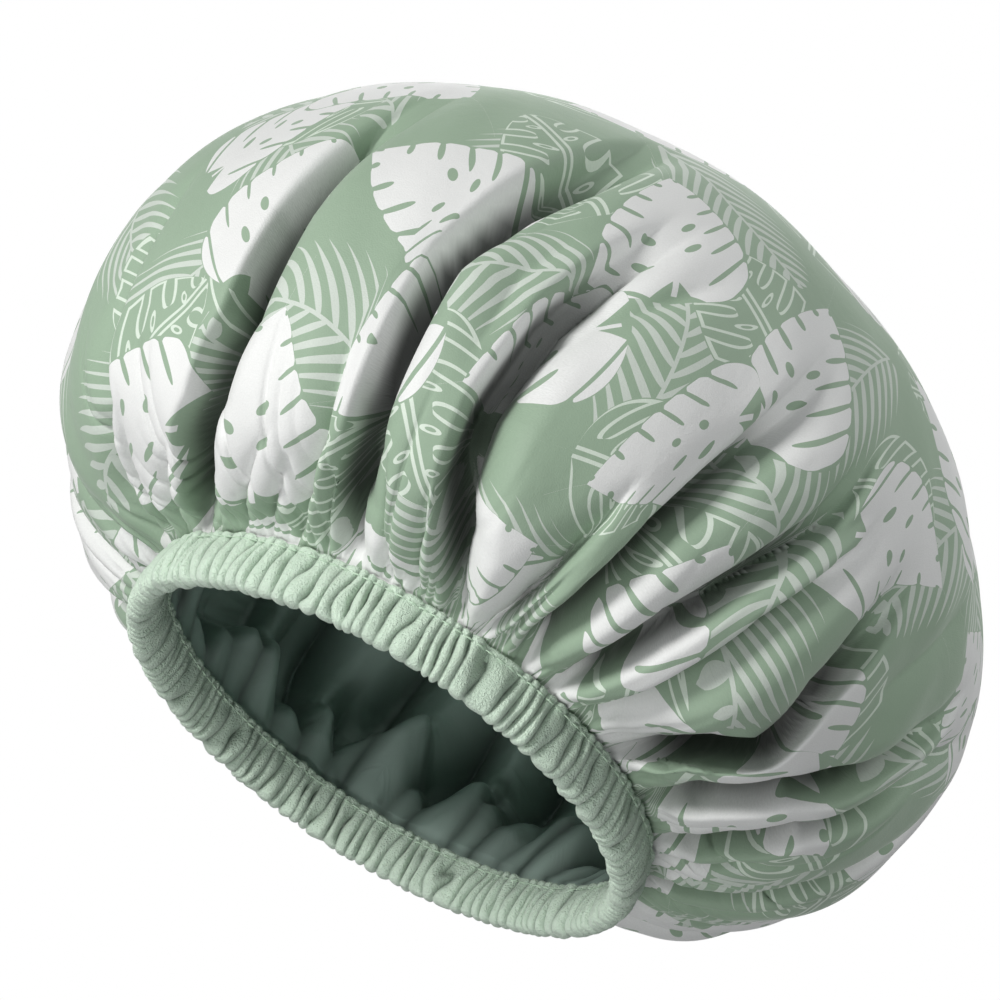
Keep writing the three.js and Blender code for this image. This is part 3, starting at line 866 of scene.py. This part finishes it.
def print_turn(angle, share):
    """How far round from each angle the place on the flat cloth lies that shows there.

    The cloth lies at its true scale on each roll, and what is gathered away is in the creases."""
    radius = PROFILE.radius(share)
    scale = PRINT_STRETCH * radius / (PROFILE.length * (1 - share)[:, None])
    paths, fixed = main_paths(share), main_paths(np.array([PRINT_LEVEL]))
    gap, fixed_gap = gaps_between(paths), gaps_between(fixed)[0]
    middle, anchor = paths + gap / 2, fixed[0] + fixed_gap / 2
    sharp = np.clip((main_depths(share) - JUMP_START) / JUMP_GAIN, 0, 1)
    turn = np.zeros((len(share), len(angle)))
    count = len(VALLEYS)
    for index in range(count):
        away = turn_between(middle[:, [index]], angle[None])
        half = gap[:, [index]] / 2
        narrow = np.clip(JUMP / (radius * half), 0, 0.5)
        value = away * scale
        for side, valley in ((1, (index + 1) % count), (-1, index)):
            span = fixed_gap[(index + side) % count] / 2 + fixed_gap[index] / 2
            place = np.clip(side * away / half, 0, 1)
            step = smooth(1 - narrow, 1 + narrow * 0.01, place)
            jump = sharp[:, [valley]]
            value = value + side * (span / 2 - half * scale) * (jump * step + (1 - jump) * place)
        inside = (away >= -half) & (away < half)
        turn = np.where(inside, anchor[index] + value, turn)
    return turn_between(angle[None], turn)


def blurred(field, reach):
    """A field on the rows, smoothed round the cap over a reach in radians."""
    count = field.shape[1]
    rate = np.fft.rfftfreq(count, 1 / count)
    soft = np.exp(-(rate * reach) ** 2 / 2)
    return np.fft.irfft(np.fft.rfft(field, axis=1) * soft, count, axis=1)


def cloth_uv(angle, share):
    """Where each point lay on the flat round of cloth, in metres from the middle of its crown."""
    inside = np.clip(share, 0, 1)
    sharp = print_turn(angle, inside)
    upper = smooth(*PRINT_SOFTENS, inside)[:, None]
    change = sharp * (1 - upper) + blurred(sharp, PRINT_BLUR) * upper
    change *= 1 - smooth(*PRINT_SETTLES, inside)[:, None]
    turn = angle[None] + change
    reach = (PROFILE.length * (1 - share))[:, None]
    return np.stack([reach * np.cos(turn), reach * np.sin(turn)], axis=-1)


def cloth_piece(name, node, material, angle, share, folds, deep, inset, thickness):
    """A round of cloth, and the mean length of its way to the crown. It stores the place of its
    print and, from 0 to 1, how deep in a recess it is, for the painted shade of its material."""
    points = with_tuck(place_on_cap(angle, share, *folds), inset)
    crown = (*CROWN_SHIFT, min(CROWN_TOP - inset, points[-1, :, 2].mean() + 0.1 * MM))
    mesh = cloth_mesh(name, points, crown, thickness)
    rows = np.concatenate([[TUCKED_SHARE] * TUCK_ROWS, share])
    print_place = np.concatenate([cloth_uv(angle, rows).reshape(-1, 2), [[0, 0]]])
    shade = np.concatenate([np.tile(deep[0], TUCK_ROWS), deep.ravel(), [0]])
    add_uv(mesh, "cloth", np.tile(print_place, (2, 1)))
    add_uv(mesh, "recess", np.tile(shade[:, None], (2, 2)))
    steps = np.diff(np.concatenate([points, np.broadcast_to(crown, points[:1].shape)]), axis=0)
    length = np.linalg.norm(steps, axis=-1).sum(axis=0).mean()
    return add_piece(mesh, material, node), length


def make_shell():
    angle, share = ring_angles(SHELL_COLUMNS), row_shares(SHELL_ROWS)
    # How deep the main valleys and gathers sink, which sets their painted shade.
    deep = main_folds(angle, share)[0] + gather_folds(angle, share)[0]
    return cloth_piece("printed_shell", "outer_shell", printed_satin(), angle,
                       share, shell_folds(angle, share), smooth(RECESS_STARTS, RECESS_FULL, deep),
                       inset=0, thickness=SHELL_THICKNESS)


LINING_COLUMNS, LINING_ROWS = 900, 110
LINING_INSET = 1.1 * MM
PETAL = 15 * MM
PETAL_PITCH, PETAL_STRAY = 10.5 * MM, 0.2
# The creases between the petals: half widths, and the power that pinches them. They are long and
# short in turn. Each kind has its range of depths, as shares of a petal's height, and the range of
# the shares of the way up at which it ends.
CREASE_NARROW, CREASE_GAIN, CREASE_WIDEST, PINCH = 5 * MM, 80 * MM, 15.5 * MM, 1.7
PINCHES = ((0.75, 1.0), (0.5, 0.9)), ((0.5, 0.8), (0.2, 0.4))
# How far the lining's two guides are smoothed, in radians, and how softly they meet.
SHELL_BLUR, HULL_BLUR, SOFT_MEETING = 0.012, 0.05, 3 * MM


def lining_petals(angle, share):
    """How far the lining's own long petals bulge inwards, round between the pinched creases, and
    how deep in a crease each place is, from 0 to 1, for the painted shade of its satin."""
    draw = np.random.default_rng(31)
    paths = main_paths(share)
    gap = gaps_between(paths)
    rows = share[:, None]
    radius = PROFILE.radius(share)
    width = widening(share, CREASE_NARROW, CREASE_GAIN, CREASE_WIDEST)
    crest = PETAL * np.sin(math.pi / 2 * np.clip(rows / 0.1, 0, 1)) * (1 - smooth(0.35, 0.9, rows))
    crest = crest * (1 + 0.16 * waves(34, 12, (5, 18), (0.3, 1.6), angle[None], rows))
    sink = np.zeros((len(share), len(angle)))
    for index in range(len(VALLEYS)):
        count = max(1, round(gap[0, index] * OPENING_X / PETAL_PITCH))
        for step in range(count):
            place = (step + 0.5 + draw.uniform(-PETAL_STRAY, PETAL_STRAY)) / count
            depth, end = (draw.uniform(*ends) for ends in PINCHES[step % 2])
            lane = paths[:, index] + place * gap[:, index]
            away = np.abs(turn_between(lane[:, None], angle[None])) * radius
            crease = depth * (1 - smooth(end * 0.5, end, rows))
            crease = crease * np.clip(1 - away / width, 0, 1) ** PINCH
            sink = sink + crease - sink * crease
    return crest * (1 - sink), sink * (1 - smooth(0.35, 0.8, rows))


def level_in_place(angle, share, sink, pull):
    """The depth that a pulled cloth shows at each angle, taken as the deepest that lands there."""
    count = len(angle)
    turn = angle[None] + pull / PROFILE.radius(share)
    column = np.rint(turn / FULL_TURN * count).astype(int) % count
    shown = np.full(sink.shape, -1.0)
    rows = np.broadcast_to(np.arange(len(share))[:, None], sink.shape)
    np.maximum.at(shown, (rows, column), sink)
    return shown


def widest(field, columns, rows):
    """The highest value of a field within some columns and rows of each place."""
    best = np.max([np.roll(field, step, 1) for step in range(-columns, columns + 1)], axis=0)
    padded = np.pad(best, ((rows, rows), (0, 0)), mode="edge")
    return np.max([padded[step:step + len(field)] for step in range(2 * rows + 1)], axis=0)


def make_lining():
    """The lining lies inside the deepest of the shell's folds near it, with its petals inwards."""
    angle, share = ring_angles(LINING_COLUMNS), row_shares(LINING_ROWS)
    shell = level_in_place(angle, share, *shell_folds(angle, share))
    shell = widest(shell, columns=5, rows=1)
    shell, hull = blurred(shell, SHELL_BLUR), blurred(shell, HULL_BLUR)
    rise = share[:, None]
    ripple = between(rise, (0.02, 0.1), (0.5, 0.9), 0.6 * MM) * waves(
        33, 20, (12, 34), (0.5, 3), angle[None], rise)
    petals, crease = lining_petals(angle, share)
    gap = hull + petals + ripple - shell
    over = (gap + np.sqrt(gap ** 2 + SOFT_MEETING ** 2)) / 2
    sink = LINING_GAP + shell + over * np.clip(rise / 0.02, 0, 1)
    return cloth_piece("satin_lining", "waterproof_lining", lining_satin(), angle,
                       share, (sink, np.zeros_like(sink)), crease, LINING_INSET, LINING_THICKNESS)


# The ruched casing

# Section of the casing from its outer throat round the outside to the middle of its underside:
# offset from the middle line and height, in millimetres. The inner half mirrors it.
CASING_SECTION = (
    (1.2, 12.0), (1.2, 15.4), (1.55, 16.4), (2.4, 16.3), (2.85, 15.4), (2.75, 14.2), (3.1, 13.0),
    (3.7, 10.8), (4.1, 7.6), (3.9, 4.2), (3.2, 1.7), (1.9, 0.35), (0.0, 0.05),
)
# How much of the rib depth each of those points shows.
CASING_RIBS = (0, 0, 0.2, 0.5, 0.65, 0.6, 0.8, 1.0, 1.0, 1.0, 0.9, 0.6, 0.35)
CASING_COLUMNS, SECTION_STEPS = 1800, 76
RIBS = 124
RIB_DEPTH = 2.5 * MM
# How far the gathers stray, in gathers: as they are, by leaning along the section and by small
# wrinkles. The fullness narrows their creases, and the power keeps these sharp.
RIB_STRAY, RIB_LEAN, RIB_WRINKLE, RIB_FULLNESS, RIB_POWER = 0.28, 0.3, 0.07, 0.05, 0.7
LEAST_HEIGHT = 0.03 * MM
LAP_ANGLE = math.radians(-160)
LAP_HALF = math.radians(6.5)


def section_curve():
    """The whole section at even steps, with the share of rib depth at each step."""
    outer = np.array([(x * MM, z * MM, r) for (x, z), r in zip(CASING_SECTION, CASING_RIBS)])
    inner = outer[-2::-1] * (-1, 1, 1)
    knots = np.concatenate([outer, inner])
    step = np.hypot(*np.diff(knots[:, :2], axis=0).T)
    along = np.concatenate([[0], np.cumsum(step)])
    even = np.linspace(0, along[-1], SECTION_STEPS)
    return np.stack([smooth_through(along, knots[:, k], even) for k in range(3)], axis=-1)


def smooth_through(place, values, wanted):
    """A smooth curve through a list of values, at the wanted places."""
    slope = np.gradient(values, place)
    index = np.clip(np.searchsorted(place, wanted) - 1, 0, len(place) - 2)
    width = place[index + 1] - place[index]
    t = (wanted - place[index]) / width
    a, b = values[index], values[index + 1]
    start, end = slope[index] * width, slope[index + 1] * width
    return ((2 * t ** 3 - 3 * t * t + 1) * a + (t ** 3 - 2 * t * t + t) * start
            + (3 * t * t - 2 * t ** 3) * b + (t ** 3 - t * t) * end)


def casing_surface(angle, curve):
    """Points of the casing, row by row along its section, and how deep in a crease each one is."""
    offset, height, ribs = curve.T[..., None]
    spread, climb = np.gradient(offset, axis=0), np.gradient(height, axis=0)
    size = np.hypot(spread, climb)
    along = np.linspace(-1, 1, len(curve))[:, None]
    turn = angle[None]
    phase = (RIBS * turn / FULL_TURN + RIB_STRAY * waves(41, 12, (3, 24), (0, 0.1), turn, along)
             + RIB_LEAN * along * waves(42, 10, (5, 22), (0, 0.2), turn, along)
             + RIB_WRINKLE * waves(43, 16, (20, 60), (0.5, 1.5), turn, along))
    phase = phase + RIB_FULLNESS * np.sin(FULL_TURN * phase)
    crease = 1 - np.abs(np.sin(math.pi * phase)) ** RIB_POWER
    uneven = 0.82 + 0.3 * waves(44, 14, (9, 60), (0.2, 1.2), turn, along)
    sink = RIB_DEPTH * ribs * crease * np.clip(uneven, 0.4, 1.2)
    sink = sink + 0.35 * MM * ribs * waves(45, 16, (14, 60), (0.3, 1.2), turn, along)
    away = np.abs(turn_between(LAP_ANGLE, turn))
    outside = smooth(0, 1.0 * MM, offset)
    sink = sink - LAP_THICKNESS * outside * (1 - smooth(0.97, 1.03, away / LAP_HALF))
    reach = offset - sink * (climb / size)
    rise = np.maximum(height + sink * (spread / size), LEAST_HEIGHT)
    points = [(OPENING_X + reach) * np.cos(turn), (OPENING_Y + reach) * np.sin(turn), rise]
    return np.stack(points, axis=-1), crease * np.clip(ribs * 1.6, 0, 1)


def make_casing():
    points, crease = casing_surface(ring_angles(CASING_COLUMNS), section_curve()[::-1])
    mesh = make_mesh("ruched_casing", points.reshape(-1, 3), grid_faces(0, *points.shape[:2]))
    # How deep in a crease each point lies, for the painted shade of the velour.
    add_uv(mesh, "crease", np.stack([crease.ravel(), np.zeros(crease.size)], axis=-1))
    return add_piece(mesh, casing_velour(), "band_casing")


# Threads

STITCH_HEIGHT = 14.15 * MM
STITCH_COUNT = 150
STITCH_SHARE = 0.82
STITCH_BOW = 0.25 * MM
SEAM_OFFSET = 2.75 * MM
THREAD_RADIUS, THREAD_SIDES, THREAD_STEPS = 0.24 * MM, 8, 6
THREAD_TIP = 0.45
# The stitches of the casing's lapped end: their lowest height, pitch and length, and the offsets
# of their lower and upper ends, in millimetres.
LAP_STITCHES = 5
LAP_LOWEST, LAP_PITCH, LAP_LENGTH = 3.2, 2.3, 1.8
LAP_OFFSETS = 3.75, 3.7
LAP_BOW = 0.2 * MM


def thread_mesh(name, stitches):
    """Stitches as short bowed rods: each has two ends, an outward direction and a height."""
    points, faces = [], []
    turns = [FULL_TURN * k / THREAD_SIDES for k in range(THREAD_SIDES)]
    for start, end, outward, bow in stitches:
        aside = (end - start).normalized().cross(outward).normalized()
        cap = len(points) + np.arange(THREAD_SIDES)
        for step in range(THREAD_STEPS + 1):
            share = step / THREAD_STEPS
            bulge = math.sin(math.pi * share)
            slim = THREAD_RADIUS * (THREAD_TIP + (1 - THREAD_TIP) * bulge)
            middle = start.lerp(end, share) + outward * (bow * bulge)
            points.extend(middle + (outward * math.cos(t) + aside * math.sin(t)) * slim
                          for t in turns)
        faces.append(grid_faces(cap[0], THREAD_STEPS + 1, THREAD_SIDES))
        faces.append(np.array([cap[::-1], cap + THREAD_STEPS * THREAD_SIDES]))
    return make_mesh(name, np.array(points), *faces)


def outward_at(turn):
    return Vector((math.cos(turn), math.sin(turn), 0))


def ring_point(turn, offset, height):
    return Vector(((OPENING_X + offset) * math.cos(turn), (OPENING_Y + offset) * math.sin(turn),
                   height))


def seam_stitches(offset):
    """The stitches of a seam round the casing, on its outside or its inside."""
    stitches = []
    for index in range(STITCH_COUNT):
        turn = FULL_TURN * index / STITCH_COUNT
        after = turn + FULL_TURN * STITCH_SHARE / STITCH_COUNT
        ends = [ring_point(each, offset, STITCH_HEIGHT) for each in (turn, after)]
        stitches.append((*ends, outward_at(turn) * math.copysign(1, offset), STITCH_BOW))
    return stitches


def lap_stitches():
    """The stitches up the edge of the casing's lapped end."""
    edge = LAP_ANGLE + LAP_HALF * 0.7
    heights = [LAP_LOWEST + LAP_PITCH * k for k in range(LAP_STITCHES)]
    low, high = LAP_OFFSETS
    return [(ring_point(edge, low * MM, height * MM),
             ring_point(edge, high * MM, (height + LAP_LENGTH) * MM),
             outward_at(edge), LAP_BOW) for height in heights]


def make_threads():
    for name, stitches, node in (
        ("outer_topstitch", seam_stitches(SEAM_OFFSET), "topstitch_outer_thread"),
        ("inner_topstitch", seam_stitches(-SEAM_OFFSET), "topstitch_inner_thread"),
        ("lap_stitches", lap_stitches(), "casing_join_thread"),
    ):
        material = sewing_thread(name, colour(196, 220, 196))
        add_piece(thread_mesh(name, stitches), material, node)


def dress_hidden_nodes():
    """The elastic and its zigzag stay as they are inside the casing, with their own finish."""
    for node, material, slot in (
        ("elastic_tape", knitted_elastic(), "elastic"),
        ("elastic_join_thread", sewing_thread("elastic_zigzag", colour(232, 232, 226)), "thread"),
    ):
        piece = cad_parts[node]
        piece.data.materials.clear()
        piece.data.materials.append(material)


def declare_cloths(shell, lining):
    """Works out each cloth's flat width and area from its way to the crown, and keeps neither."""
    for piece, radius in ((shell[0], PROFILE.length), lining):
        2 * radius
        2 * radius
        math.pi * radius ** 2


add_studio()
shell = make_shell()
lining = make_lining()
casing = make_casing()
make_threads()
dress_hidden_nodes()
declare_cloths(shell, lining)

view = bpy.context.scene.view_settings
view.view_transform = "Standard"
